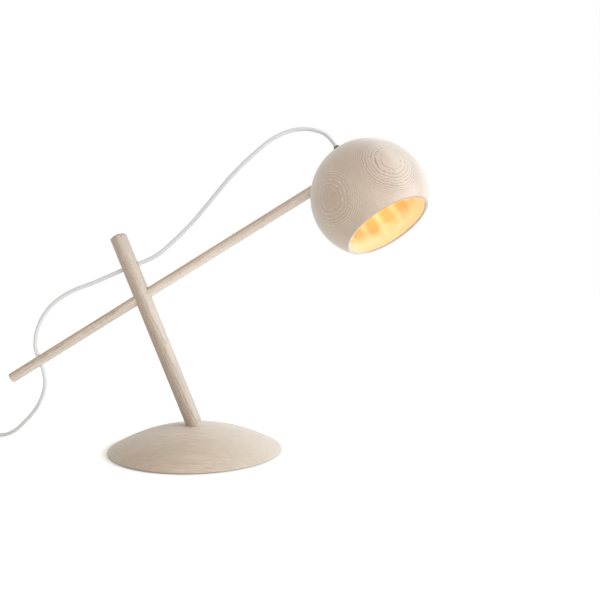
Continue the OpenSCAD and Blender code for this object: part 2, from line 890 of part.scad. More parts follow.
module switch_upper() {
    color(WHITE_PLASTIC) in_switch() difference() {
        union() {
            difference() {
                intersection() {
                    linear_extrude(switch_h) switch_outline(0);
                    switch_crown(0);
                }
                intersection() {
                    linear_extrude(switch_h) switch_outline(switch_wall);
                    switch_crown(switch_wall);
                }
            }
            intersection() {
                switch_crown(switch_wall / 2);
                union() {
                    for (side = [-1, 1]) translate([side * cheek_x, 0, switch_h / 2 + pivot_z / 2])
                        cube([cheek_w, cheek_len, switch_h - pivot_z + 3 * rocker_pin_d], center = true);
                    intersection() {
                        linear_extrude(switch_h) switch_outline(switch_wall / 2);
                        at_switch_screws() cylinder(d = switch_boss_d, h = switch_h);
                    }
                }
            }
        }
        translate([0, 0, switch_split - switch_h])
            linear_extrude(switch_h) square(2 * switch_len, center = true);
        switch_cord_holes();
        translate([0, 0, switch_h])
            cube([window_w, window_len, 2 * (switch_h - pivot_z)], center = true);
        translate([0, 0, pivot_z]) rotate([0, 90, 0])
            cylinder(d = rocker_pin_d + 2 * seat, h = window_w + 2 * cheek_w + 2 * cut, center = true);
        at_switch_screws() cylinder(d = switch_screw_d + 2 * seat, h = pivot_z + gap);
    }
}

module switch_rocker() {
    dip = 4.2;
    wing = 5.4;
    under = 1;
    foot = 3;
    ridges = 4;
    ridge_d = 0.8;
    half = rocker_len / 2;
    color(GREY_PLASTIC) in_switch() translate([0, 0, pivot_z]) rotate([-rocker_tilt, 0, 0]) difference() {
        rotate([90, 0, 90]) linear_extrude(rocker_w, center = true) {
            polygon([
                [-half, under], [-foot, -foot], [foot, -foot], [half, under],
                [half, wing], [0, dip], [-half, wing]
            ]);
            for (side = [-1, 1])
                for (i = [1 : ridges])
                    translate([side * half, wing - dip] * i / (ridges + 1) + [0, dip])
                        circle(d = ridge_d);
        }
        rotate([0, 90, 0]) cylinder(d = rocker_pin_d + 2 * run, h = 2 * rocker_w, center = true);
    }
}

module switch_pin() {
    color(STEEL) in_switch() translate([0, 0, pivot_z]) rotate([0, 90, 0])
        cylinder(d = rocker_pin_d, h = window_w + 2 * cheek_w - 2 * gap, center = true);
}

module switch_contacts() {
    color(BRASS) in_switch() for (side = [-1, 1])
        translate([-terminal_w / 2, side * terminal_y - terminal_len / 2, switch_wall])
            cube([terminal_w, terminal_len, terminal_h]);
}

module switch_screws() {
    color(STEEL) in_switch() at_switch_screws() {
        translate([0, 0, gap]) cylinder(d = switch_screw_head_d, h = switch_screw_head_h);
        translate([0, 0, gap + switch_screw_head_h])
            cylinder(d = switch_screw_d, h = pivot_z - gap - switch_screw_head_h);
    }
}

module relief(len, base_width, tip_width) {
    difference() {
        cylinder(d1 = base_width, d2 = tip_width, h = len);
        translate([0, 0, -cut]) cylinder(d = relief_bore_d, h = len + 2 * cut);
    }
}

module switch_reliefs() {
    color(WHITE_PLASTIC) in_switch() for (side = [-1, 1])
        translate([0, side * switch_len / 2, switch_split]) rotate([-side * 90, 0, 0])
            relief(relief_len, relief_d, relief_tip_d);
}

// Plug
module plug_outline() {
    x = plug_w / 2 - plug_corner;
    neck = plug_neck_w / 2 - plug_corner;
    rounded_outline(
        [[-neck, plug_corner], [neck, plug_corner], [x, plug_shoulder],
            [x, plug_len - plug_corner], [-x, plug_len - plug_corner], [-x, plug_shoulder]],
        plug_corner);
}

module at_plug_pins() {
    for (side = [-1, 1]) translate([side * plug_pin_gap / 2, 0, 0]) children();
}

module plug_body() {
    color(WHITE_PLASTIC) in_plug() translate([0, 0, plug_relief_len]) difference() {
        intersection() {
            rotate([90, 0, 0]) linear_extrude(plug_t, center = true) plug_outline();
            rotate([90, 0, 90]) linear_extrude(2 * plug_w, center = true)
                translate([0, plug_len / 2]) rounded_rectangle(plug_t, plug_len, plug_corner);
        }
        at_plug_pins() translate([0, 0, plug_len - plug_root_len])
            cylinder(d = plug_root_d + 2 * seat, h = plug_len);
        for (side = [-1, 1])
            for (i = [0 : plug_grip_count - 1])
                translate([side * (plug_w / 2 + plug_grip_d / 4), 0, plug_shoulder + i * plug_grip_step])
                    rotate([90, 0, 0]) cylinder(d = plug_grip_d, h = 2 * plug_t, center = true);
    }
}

module plug_pins() {
    tip = plug_pin_d / 4;
    color(BRASS) in_plug() translate([0, 0, plug_relief_len + plug_len]) at_plug_pins() {
        translate([0, 0, -plug_root_len]) cylinder(d = plug_root_d, h = plug_root_len);
        cylinder(d = plug_pin_d, h = plug_pin_len - tip);
        translate([0, 0, plug_pin_len - tip])
            cylinder(d1 = plug_pin_d, d2 = plug_pin_d - 2 * tip, h = tip);
    }
}

module plug_relief() {
    color(WHITE_PLASTIC) in_plug() translate([0, 0, plug_relief_len]) rotate([180, 0, 0])
        relief(plug_relief_len, plug_relief_d, relief_tip_d);
}

base_dome();
base_weight();
weight_screws();
base_felt();
post();
post_insert();
post_washer();
post_bolt();
grip_rings();
arm();
pivot_ring();
shade_shell();
retaining_screw();
reflector();
lamp_holder();
holder_contacts();
holder_screws();
gland_nut();
cord_gland();
cord_core();
bulb_base();
bulb_pins();
bulb_glass();
bulb_filament();
cord_at_shade();
cord_to_post();
cord_to_arm();
cord_to_table();
cord_to_coil();
cord_coil();
cord_tie();
cord_to_plug();
switch_lower();
switch_upper();
switch_rocker();
switch_pin();
switch_contacts();
switch_screws();
switch_reliefs();
plug_body();
plug_pins();
plug_relief();
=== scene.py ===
import math
from collections import namedtuple

import bpy
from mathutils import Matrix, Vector


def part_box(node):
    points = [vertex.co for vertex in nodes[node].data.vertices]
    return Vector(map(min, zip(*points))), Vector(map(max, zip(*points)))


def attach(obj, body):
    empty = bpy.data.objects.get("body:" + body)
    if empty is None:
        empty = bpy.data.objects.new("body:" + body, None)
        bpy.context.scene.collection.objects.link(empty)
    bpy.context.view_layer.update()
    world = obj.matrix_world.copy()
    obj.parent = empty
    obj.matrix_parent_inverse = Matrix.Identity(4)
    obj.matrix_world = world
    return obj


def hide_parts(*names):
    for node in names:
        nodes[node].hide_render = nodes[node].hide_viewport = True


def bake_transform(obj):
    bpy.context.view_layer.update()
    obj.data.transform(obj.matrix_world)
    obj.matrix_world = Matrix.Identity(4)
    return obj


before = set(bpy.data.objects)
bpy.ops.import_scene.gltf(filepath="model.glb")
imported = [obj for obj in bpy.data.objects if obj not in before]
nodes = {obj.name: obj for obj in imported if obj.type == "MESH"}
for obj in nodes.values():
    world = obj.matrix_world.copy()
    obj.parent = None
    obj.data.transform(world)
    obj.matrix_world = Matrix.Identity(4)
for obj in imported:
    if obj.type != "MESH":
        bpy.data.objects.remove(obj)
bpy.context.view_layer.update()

# Lengths are in metres, apart from the camera's lens and sensor
CAMERA_AT = (0.12798, -1.07403, 0.28856)
CAMERA_PITCH = math.radians(84.413)
CAMERA_LENS = 54
CAMERA_SENSOR = 36

# The turned pieces: where the arm crosses the post, and the ways that the post, the arm and the ball point
POST_LEAN = math.radians(21.2)
ARM_SLOPE = math.radians(31.8)
BALL_TURN = math.radians(25.5)
BALL_AHEAD = 0.291
BALL_BELOW = 0.046
CROSSING = Vector((-0.06075, 0, 0.18763))
POST_AXIS = Vector((-math.sin(POST_LEAN), 0, math.cos(POST_LEAN)))
ARM_AXIS = Vector((math.cos(ARM_SLOPE), 0, math.sin(ARM_SLOPE)))
ARM_UP = Vector((-math.sin(ARM_SLOPE), 0, math.cos(ARM_SLOPE)))
BALL_AXIS = math.cos(BALL_TURN) * ARM_UP + math.sin(BALL_TURN) * Vector((0, 1, 0))
BALL_AXES = (ARM_AXIS, BALL_AXIS.cross(ARM_AXIS), BALL_AXIS)
BALL_MIDDLE = CROSSING + BALL_AHEAD * ARM_AXIS - BALL_BELOW * BALL_AXIS

# Cord
CORD_D = 0.0048
CORD_SIDES = 20
ROUTE_STEPS = 10
ROUTE = [
    # out of the gland and over the top of its arch
    (0.1751, 0.0104, 0.3594), (0.1711, 0.014, 0.3659), (0.1658, 0.0186, 0.3744), (0.158, 0.022, 0.3818),
    (0.146, 0.024, 0.3866), (0.132, 0.025, 0.388), (0.117, 0.025, 0.386), (0.102, 0.024, 0.38),
    # down to the post and through it
    (0.0675, 0.02, 0.3535), (0.0445, 0.016, 0.3305), (0.022, 0.012, 0.3035), (-0.001, 0.008, 0.276),
    (-0.023, 0.004, 0.254), (-0.044, 0.001, 0.2365), (-0.0652, 0, 0.2267), (-0.0838, 0, 0.2194),
    # round to the arm's tail and through it
    (-0.116, 0, 0.2055), (-0.151, 0, 0.191), (-0.169, 0, 0.178), (-0.183, 0, 0.1595),
    (-0.19, 0, 0.139), (-0.1908, 0, 0.126), (-0.1884, 0, 0.1157), (-0.1838, 0, 0.1041),
    # down to the table and round into the switch
    (-0.1812, 0.0005, 0.092), (-0.182, 0.004, 0.0785), (-0.188, 0.0105, 0.0625), (-0.2005, 0.022, 0.044),
    (-0.216, 0.0335, 0.028), (-0.234, 0.046, 0.0125), (-0.249, 0.056, 0.005), (-0.264, 0.065, 0.0026),
    (-0.279, 0.07, 0.0026), (-0.292, 0.066, 0.0026), (-0.3005, 0.056, 0.0028), (-0.303, 0.043, 0.0044),
    (-0.303, 0.031, 0.0069), (-0.303, 0.021, 0.0075), (-0.303, 0.013, 0.0075),
]
# the points where one stretch ends and the next begins, and the places where the next body takes over
ARCH_POINT = 7
POST_POINT = 15
ARM_POINT = 23
POST_HOLE_ENTRY = (-0.05, 0.0007, 0.2335)
ARM_HOLE_ENTRY = (-0.1896, 0, 0.1195)
TABLE_POINT = (-0.249, 0.056, 0.005)
COIL_ROUTE = [
    (-0.303, -0.07, 0.0075), (-0.303, -0.084, 0.0072),
    (-0.303, -0.097, 0.0048), (-0.30315, -0.1072, 0.0036),
]
PLUG_ROUTE = [
    (-0.37285, -0.1072, 0.009), (-0.373, -0.097, 0.0084),
    (-0.373, -0.084, 0.00695), (-0.373, -0.07, 0.00685),
]
COIL_MIDDLE = (-0.338, -0.112)
COIL_TURNS = 5.5
COIL_CLIMB_TURNS = 0.5
COIL_INNER_R = 0.02
COIL_PITCH = 0.0054
COIL_LIFT = 0.0012
COIL_RINGS = 60

Ring = namedtuple("Ring", "middle across up travelled")


def make_camera():
    data = bpy.data.cameras.new("camera")
    data.lens = CAMERA_LENS
    data.sensor_width = CAMERA_SENSOR
    camera = bpy.data.objects.new("camera", data)
    camera.location = CAMERA_AT
    camera.rotation_euler = (CAMERA_PITCH, 0, 0)
    bpy.context.scene.collection.objects.link(camera)
    bpy.context.scene.camera = camera


# Curves and tubes
def heading(a, b, c):
    """The way that a smooth line goes at b, coming from a and going to c."""
    before, after = (b - a).length, (c - b).length
    return ((b - a) * after / before + (c - b) * before / after) / (before + after)


def stretch(b, c, way_b, way_c, t):
    """The point at t, from 0 to 1, on the smooth stretch from b to c."""
    straight = b + t * t * (3 - 2 * t) * (c - b)
    return straight + (c - b).length * t * (1 - t) * ((1 - t) * way_b - t * way_c)


def smooth(points):
    """A smooth line through the points, straight at its ends."""
    p = [Vector(point) for point in points]
    line = [2 * p[0] - p[1], *p, 2 * p[-1] - p[-2]]
    ways = [heading(*three) for three in zip(line, line[1:], line[2:])]
    stretches = zip(p, p[1:], ways, ways[1:])
    return [stretch(*ends, k / ROUTE_STEPS) for ends in stretches for k in range(ROUTE_STEPS)] + [p[-1]]


def rings_along(path, start):
    """A ring at each point of the path, turned as little as can be from one to the next."""
    rings = []
    normal = Vector(start)
    travelled = 0
    for i, point in enumerate(path):
        tangent = (path[min(i + 1, len(path) - 1)] - path[max(i - 1, 0)]).normalized()
        normal = (normal - normal.dot(tangent) * tangent).normalized()
        travelled += (point - path[i - 1]).length if i else 0
        rings.append(Ring(point, normal, tangent.cross(normal), travelled))
    return rings


def link_mesh(name, verts, faces, smooth_faces):
    mesh = bpy.data.meshes.new(name)
    mesh.from_pydata(verts, [], faces)
    mesh.polygons.foreach_set("use_smooth", smooth_faces)
    obj = bpy.data.objects.new(name, mesh)
    bpy.context.scene.collection.objects.link(obj)
    return obj


def ring_corners(ring):
    angles = [2 * math.pi * k / CORD_SIDES for k in range(CORD_SIDES)]
    return [ring.middle + CORD_D / 2 * (math.cos(a) * ring.across + math.sin(a) * ring.up) for a in angles]


def tube(name, rings):
    """Closed tube through the rings. Its map's U is metres along the cord, and its V one turn round it."""
    verts = [corner for ring in rings for corner in ring_corners(ring)]
    faces = []
    places = []
    for i, (ring, following) in enumerate(zip(rings, rings[1:])):
        u0, u1 = ring.travelled, following.travelled
        for k in range(CORD_SIDES):
            a, b = i * CORD_SIDES + k, i * CORD_SIDES + (k + 1) % CORD_SIDES
            faces.append((a, b, b + CORD_SIDES, a + CORD_SIDES))
            v0, v1 = k / CORD_SIDES, (k + 1) / CORD_SIDES
            places += [(u0, v0), (u0, v1), (u1, v1), (u1, v0)]
    walls = len(faces)
    # the ends have corners of their own, so that they don't bend the light on the walls
    count = len(verts)
    verts += verts[:CORD_SIDES] + verts[-CORD_SIDES:]
    faces.append(tuple(reversed(range(count, count + CORD_SIDES))))
    faces.append(tuple(range(count + CORD_SIDES, count + 2 * CORD_SIDES)))
    places += [(rings[0].travelled, 0)] * CORD_SIDES + [(rings[-1].travelled, 0)] * CORD_SIDES
    obj = link_mesh(name, verts, faces, [True] * walls + [False, False])
    layer = obj.data.uv_layers.new(name="weave")
    layer.uv.foreach_set("vector", [x for place in places for x in place])
    return obj


def coil_point(turns):
    """The coil winds in on the table, climbs onto itself halfway, and winds out again on top."""
    past_half = turns - COIL_TURNS / 2
    radius = COIL_INNER_R + COIL_PITCH * abs(past_half)
    climb = min(max(past_half / COIL_CLIMB_TURNS + 0.5, 0), 1)
    angle = 2 * math.pi * turns
    return Vector((
        COIL_MIDDLE[0] + radius * math.cos(angle),
        COIL_MIDDLE[1] - radius * math.sin(angle),
        COIL_LIFT + CORD_D / 2 + COIL_PITCH * climb,
    ))


def coil_path():
    count = round(COIL_RINGS * COIL_TURNS)
    return [coil_point(i / COIL_RINGS) for i in range(count + 1)]


def nodes_named(start):
    return [node for name, node in nodes.items() if name.startswith(start)]


def free_cords(material):
    """The stretches from the gland to the switch, made as tubes in place of the CAD nodes."""
    rings = rings_along(smooth(ROUTE), (0, 1, 0))
    # node, first and last points, the bodies that hold them, where the second takes over, lay, pieces on it
    stretches = [
        ("cord_at_shade", 0, ARCH_POINT, "shade", "arm", ROUTE[ARCH_POINT], "hanging", ()),
        ("cord_to_post", ARCH_POINT, POST_POINT, "arm", "base", POST_HOLE_ENTRY, "hanging", ()),
        ("cord_to_arm", POST_POINT, ARM_POINT, "base", "arm", ARM_HOLE_ENTRY, "hanging", ()),
        ("cord_to_table", ARM_POINT, len(ROUTE) - 1, "arm", "base", TABLE_POINT, "loose",
         nodes_named("switch_")),
    ]
    for name, first, last, body, next_body, held, lay, pieces in stretches:
        part = rings[first * ROUTE_STEPS:last * ROUTE_STEPS + 1]
        cord = tube(name + "_textile", part)
        cord.data.materials.append(material)
        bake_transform(cord)
        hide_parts(name)


def stored_cord(material):
    """The stretch from the switch through the coil to the plug."""
    path = smooth(COIL_ROUTE) + coil_path() + smooth(PLUG_ROUTE)
    cord = tube("cord_coil_textile", rings_along(path, (0, 0, 1)))
    cord.data.materials.append(material)
    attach(cord, "base")
    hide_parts("cord_to_coil", "cord_coil", "cord_to_plug")


# Materials
class Nodes:
    """A node tree: adds nodes, links sockets and sets plain values."""

    def __init__(self, owner):
        owner.use_nodes = True
        self.tree = owner.node_tree

    def feed(self, socket, value):
        if isinstance(value, bpy.types.NodeSocket):
            self.tree.links.new(value, socket)
        elif socket.type == "RGBA":
            socket.default_value = (*value, 1)
        else:
            socket.default_value = value

    def node(self, kind, inputs, **settings):
        made = self.tree.nodes.new("ShaderNode" + kind)
        for key, value in settings.items():
            setattr(made, key, value)
        for key, value in inputs.items():
            self.feed(made.inputs[key], value)
        return made

    def place(self):
        return self.node("TexCoord", {}).outputs["Object"]

    def coordinates(self, origin, axes):
        """Distances from the origin along each of the axes."""
        away = self.vector("SUBTRACT", self.place(), origin)
        return [self.vector("DOT_PRODUCT", away, axis) for axis in axes]

    def math(self, operation, *values):
        return self.node("Math", dict(enumerate(values)), operation=operation).outputs[0]

    def product(self, first, *others):
        for value in others:
            first = self.math("MULTIPLY", first, value)
        return first

    def vector(self, operation, *values):
        made = self.node("VectorMath", dict(enumerate(values)), operation=operation)
        return next(output for output in made.outputs if output.enabled)

    def combine(self, x, y, z):
        return self.node("CombineXYZ", {"X": x, "Y": y, "Z": z}).outputs[0]

    def noise(self, place, scale, detail=2.0, roughness=0.5):
        inputs = {"Vector": place, "Scale": scale, "Detail": detail, "Roughness": roughness}
        return self.node("TexNoise", inputs).outputs["Fac"]

    def shift(self, value, noise, amount):
        """value moved by up to half the amount either way."""
        return self.math("MULTIPLY_ADD", noise, amount, self.math("SUBTRACT", value, amount / 2))

    def spread(self, value, low, high, to_low=0.0, to_high=1.0):
        """value from low..high to to_low..to_high, held at both ends."""
        inputs = {"Value": value, "From Min": low, "From Max": high, "To Min": to_low, "To Max": to_high}
        return self.node("MapRange", inputs).outputs["Result"]

    def mix(self, factor, first, second):
        made = self.node("Mix", {}, data_type="RGBA")
        for socket, value in ((made.inputs[0], factor), (made.inputs[6], first), (made.inputs[7], second)):
            self.feed(socket, value)
        return made.outputs[2]

    def seen_directly(self):
        """1 for rays from the camera, in mirrors and through glass, and 0 for the rest."""
        path = self.node("LightPath", {}).outputs
        mirrored = self.math("MAXIMUM", path["Is Glossy Ray"], path["Is Transmission Ray"])
        return self.math("MAXIMUM", path["Is Camera Ray"], mirrored)


class Finish(Nodes):
    """One material."""

    def __init__(self, name, **plain):
        self.material = bpy.data.materials.new(name)
        super().__init__(self.material)
        self.shader = self.tree.nodes["Principled BSDF"]
        self.set(**plain)

    def set(self, **values):
        for key, value in values.items():
            self.feed(self.shader.inputs[key.replace("_", " ").title().replace("Ior", "IOR")], value)

    def bump(self, height, depth, strength):
        made = self.node("Bump", {"Height": height, "Distance": depth, "Strength": strength})
        self.set(normal=made.outputs["Normal"])


def put(finish, names):
    """Gives the finish to the CAD nodes of those names."""
    for name in names:
        mesh = nodes[name].data
        mesh.materials.clear()
        mesh.materials.append(finish.material)


# Oak's colours: its body and fibres, dark and limed pores, a painted warm glow for the ball's lip, a dark
# colour for the limed staves and for painted shade, and a pale one for painted light
OAK_PALE = (0.72, 0.585, 0.475)
OAK_TAN = (0.60, 0.465, 0.36)
OAK_PINK = (0.68, 0.525, 0.43)
OAK_STREAK = (0.50, 0.38, 0.285)
OAK_PORE = (0.2, 0.14, 0.1)
OAK_LIMED = (0.86, 0.76, 0.67)
OAK_LIP_GLOW = (0.45, 0.22, 0.13)
OAK_DARK_AND_SHADE = (0.36, 0.27, 0.19)
OAK_PAINTED_LIGHT = (0.76, 0.68, 0.61)

# Oak's patterns: how many times each is drawn out along the grain, its scale, and its detail and roughness
RING_WANDER = (2, 60)
RING_JAGS = (3, 600)
PORE_BREAKS = (7, 1400, 1)
LOOSE_DASHES = (9, 1000, 1)
GREY_PATCHES = (5, 30, 3)
PINK_PATCHES = (4, 13, 2)
FINE_FIBRES = (14, 500, 3, 0.6)

# The noise levels between which each pattern comes in, and the least or most of it that shows
PORE_LEVELS = (0.40, 0.60)
DASH_LEVELS = (0.58, 0.72)
GREY_LEVELS = (0.35, 0.65)
PINK_LEVELS = (0.45, 0.65)
FIBRE_LEVELS = (0.38, 0.66)
LEAST_PORE = 0.4
LEAST_RING = 0.6
LOOSE_PORES = 0.2
PINK_SHARE = 0.6

# Rings are counted across the grain: how far they wander and jag, and how far a line reaches to each side
WANDER_RINGS = 1.5
JAG_RINGS = 0.9
RING_WIDTH = 0.2

OAK_ROUGHNESS = (0.5, 0.7)
OAK_BUMP = (0.0002, 0.6)
FIBRE_HEIGHT = 0.25


def along_grain(finish, fibre, times, scale, detail=2.0, roughness=0.5):
    """Noise drawn out along the grain, which is the fibre's X."""
    return finish.noise(finish.vector("MULTIPLY", fibre, (1 / times, 1, 1)), scale, detail, roughness)


def oak_rings(finish, count, fibre, width):
    """Jagged lines of pores where each ring starts, some rings stronger than others."""
    moved = finish.shift(count, along_grain(finish, fibre, *RING_WANDER), WANDER_RINGS)
    moved = finish.shift(moved, along_grain(finish, fibre, *RING_JAGS), JAG_RINGS)
    line = finish.spread(finish.math("PINGPONG", moved, 0.5), 0.0, width, 1.0, 0.0)
    number = finish.math("ROUND", moved)
    chance = finish.node("TexWhiteNoise", {"W": number}, noise_dimensions="1D").outputs["Value"]
    pores = finish.spread(along_grain(finish, fibre, *PORE_BREAKS), *PORE_LEVELS, LEAST_PORE, 1.0)
    return finish.product(line, pores, finish.spread(chance, 0, 1, LEAST_RING, 1.0))


def toned(colour, tone):
    return tuple(channel * part for channel, part in zip(colour, tone))


def oak_body(finish, fibre, fine, tone, streaks):
    """Pale wood with greyer and pinker stretches and fine fibres."""
    grey = finish.spread(along_grain(finish, fibre, *GREY_PATCHES), *GREY_LEVELS)
    blush = finish.spread(along_grain(finish, fibre, *PINK_PATCHES), *PINK_LEVELS, 0.0, PINK_SHARE)
    body = finish.mix(grey, toned(OAK_PALE, tone), toned(OAK_TAN, tone))
    body = finish.mix(blush, body, toned(OAK_PINK, tone))
    return finish.mix(finish.spread(fine, *FIBRE_LEVELS, 0.0, streaks), body, toned(OAK_STREAK, tone))


def oak(finish, count, fibre, tone, contrast, streaks, stains_and_painted_light, width=RING_WIDTH, pore=OAK_PORE):
    """Wood with growth rings where count, across the grain, passes a whole number.

    The fibre's X runs along the grain. Stains and painted light and shade are shares and the colours that
    they mix into the body.
    """
    fine = along_grain(finish, fibre, *FINE_FIBRES)
    body = oak_body(finish, fibre, fine, tone, streaks)
    for share, colour in stains_and_painted_light:
        body = finish.mix(share, body, colour)
    rings = finish.math("MULTIPLY", oak_rings(finish, count, fibre, width), contrast)
    loose = finish.spread(along_grain(finish, fibre, *LOOSE_DASHES), *DASH_LEVELS, 0.0, LOOSE_PORES)
    marks = finish.math("MAXIMUM", rings, loose)
    finish.set(
        base_color=finish.mix(marks, body, pore),
        roughness=finish.spread(marks, 0, 1, *OAK_ROUGHNESS),
    )
    height = finish.math("MULTIPLY_ADD", marks, -1, finish.math("MULTIPLY", fine, FIBRE_HEIGHT))
    finish.bump(height, *OAK_BUMP)


def sides(finish, across, reach, tone, painted_shade, sap):
    """Painted shade towards -reach and painted light towards reach, in the given shares."""
    dark = finish.spread(across, -reach, 0.0, painted_shade, 0.0)
    pale = finish.spread(across, 0.0, reach, 0.0, sap)
    return [(dark, toned(OAK_DARK_AND_SHADE, tone)), (pale, toned(OAK_PAINTED_LIGHT, tone))]


# Foot
FOOT_SURFACE = {"sheen_weight": 0.6, "sheen_roughness": 0.55, "specular_ior_level": 0.4}
FOOT_TONE = (0.94, 0.95, 0.91)
FOOT_R = 0.1045
FOOT_PITH = (0, 0.25, -0.05)
FOOT_RING = 0.0022
FOOT_CONTRAST = 0.3
FOOT_STREAKS = 0.8
# shares of painted shade on the foot's left and painted light on its right
FOOT_PAINTED_SIDES = (0.48, 0.55)


def foot_oak():
    """A board laid flat, its rings almost upright and its grain across the picture."""
    finish = Finish("oak_foot", **FOOT_SURFACE)
    fibre = finish.vector("SUBTRACT", finish.place(), FOOT_PITH)
    ring = finish.vector("LENGTH", finish.vector("MULTIPLY", fibre, (0, 1, 1)))
    count = finish.math("DIVIDE", ring, FOOT_RING)
    (across,) = finish.coordinates((0, 0, 0), [(1, 0, 0)])
    # painted shade on the left side of the foot and painted light on its right
    stains_and_painted_light = sides(finish, across, FOOT_R, FOOT_TONE, *FOOT_PAINTED_SIDES)
    oak(finish, count, fibre, FOOT_TONE, FOOT_CONTRAST, FOOT_STREAKS, stains_and_painted_light)
    return finish


# Dowels: places along them are measured from the crossing. The grain and the painted shade at one end each
# go from one place to another and from one strength to another. The sides are the shares of painted shade
# and painted light across the dowel
Dowel = namedtuple("Dowel", "axis radius tone pith pith_lean ring cut_end grain sap sides fade")
POST = Dowel(
    axis=POST_AXIS,
    radius=0.01,
    tone=(0.87, 0.89, 0.91),
    pith=Vector((0.035, -0.03, 0)),
    pith_lean=0.03,
    ring=0.0017,
    cut_end=0.0745,
    grain=(-0.15, 0.07, 1.0, 0.5),
    # painted light on the post's right side, painted shade on its left
    sap=Vector((1, -0.2, 0)),
    sides=(0.12, 0.4),
    # painted shade towards the post's lower end
    fade=(-0.15, 0.0, 0.2, 0.0),
)
ARM = Dowel(
    axis=-ARM_AXIS,
    radius=0.006,
    tone=(1.16, 1.21, 1.26),
    pith=Vector((0, -0.04, 0.02)),
    pith_lean=0.015,
    ring=0.0016,
    cut_end=0.1865,
    grain=(-0.25, 0.1, 0.1, 0.9),
    # painted light on the arm's underside and front, painted shade along its top
    sap=Vector((0, -0.4, -1)),
    sides=(0.95, 0.7),
    # painted shade on the arm's tail, beyond the post
    fade=(-0.03, 0.05, 0.0, 0.25),
)
DOWEL_SURFACE = {"sheen_weight": 0.2, "sheen_roughness": 0.5, "specular_ior_level": 0.7}
# how much grain is left on the side with painted light
PAINTED_LIGHT_GRAIN = 0.3
CUT_DEPTH = 0.001
CUT_CONTRAST = 0.9


def square_to(axis, way):
    return (way - way.dot(axis) * axis).normalized()


def dowel_oak(name, dowel):
    """A dowel whose rings are round a pith beside it that leans a little, clear on its cut end.

    The side towards the painted light is pale and has faint grain, and the far side has painted shade. One
    end is darker with painted shade.
    """
    finish = Finish(name, **DOWEL_SURFACE)
    across = square_to(dowel.axis, dowel.pith)
    axes = (dowel.axis, across, dowel.axis.cross(across), square_to(dowel.axis, dowel.sap))
    length, side, other, toward_painted_light = finish.coordinates(CROSSING, axes)
    leaned = finish.math("MULTIPLY_ADD", length, dowel.pith_lean, side)
    from_pith = finish.combine(finish.math("ADD", leaned, dowel.pith.length), other, 0.0)
    count = finish.math("DIVIDE", finish.vector("LENGTH", from_pith), dowel.ring)
    plain = finish.spread(toward_painted_light, dowel.radius / 2, dowel.radius, 1.0, PAINTED_LIGHT_GRAIN)
    grain = finish.math("MULTIPLY", finish.spread(length, *dowel.grain), plain)
    cut = finish.spread(length, dowel.cut_end, dowel.cut_end + CUT_DEPTH, 0.0, CUT_CONTRAST)
    # painted shade on the far side and painted light on the near side
    stains_and_painted_light = sides(finish, toward_painted_light, dowel.radius, dowel.tone, *dowel.sides)
    # painted shade towards one end of the dowel
    stains_and_painted_light.append((finish.spread(length, *dowel.fade), toned(OAK_DARK_AND_SHADE, dowel.tone)))
    fibre = finish.combine(length, side, other)
    oak(finish, count, fibre, dowel.tone, finish.math("MAXIMUM", grain, cut), grain, stains_and_painted_light)
    return finish


# Ball: rings are counted inwards from its surface, and staves from the one with dark pores
BALL_SURFACE = {"sheen_weight": 1.0, "sheen_roughness": 0.55, "specular_ior_level": 0.4}
BALL_TONE = (0.96, 0.97, 0.98)
BALL_R = 0.0685
BALL_STAVES = 5
DARK_STAVE = math.radians(-56.5)
STAVE_ANGLE = 2 * math.pi / BALL_STAVES
STAVE_SHIFT = 0.37
STAVE_EDGE = (math.radians(20), math.radians(36))
EDGE_CONTRAST = 0.5
BALL_RING = 0.00123
BALL_RING_WIDTH = 0.13
FIRST_RING = (0.5, 0.75)
RINGS_FADE = (6, 12)
RINGS_LEAST = (0.25, 0.5)
LIMED_DARK = 0.15
BALL_STREAKS = 0.15

# The mouth's lip has a painted warm glow; it fades between two heights, between two radii, and between two
# turns from the arm's side
LIP_LOW = (-0.0425, -0.0421)
LIP_R = (0.0525, 0.0528)
LIP_FACING = (-0.9, -0.4)


def painted_lip_glow(finish, length, radius, facing):
    """1 on the rim of the mouth, where a warm glow from inside is painted, and 0 elsewhere."""
    low = finish.spread(length, *LIP_LOW, 1.0, 0.0)
    flat = finish.spread(radius, *LIP_R, 1.0, 0.0)
    return finish.product(low, flat, finish.spread(facing, *LIP_FACING))


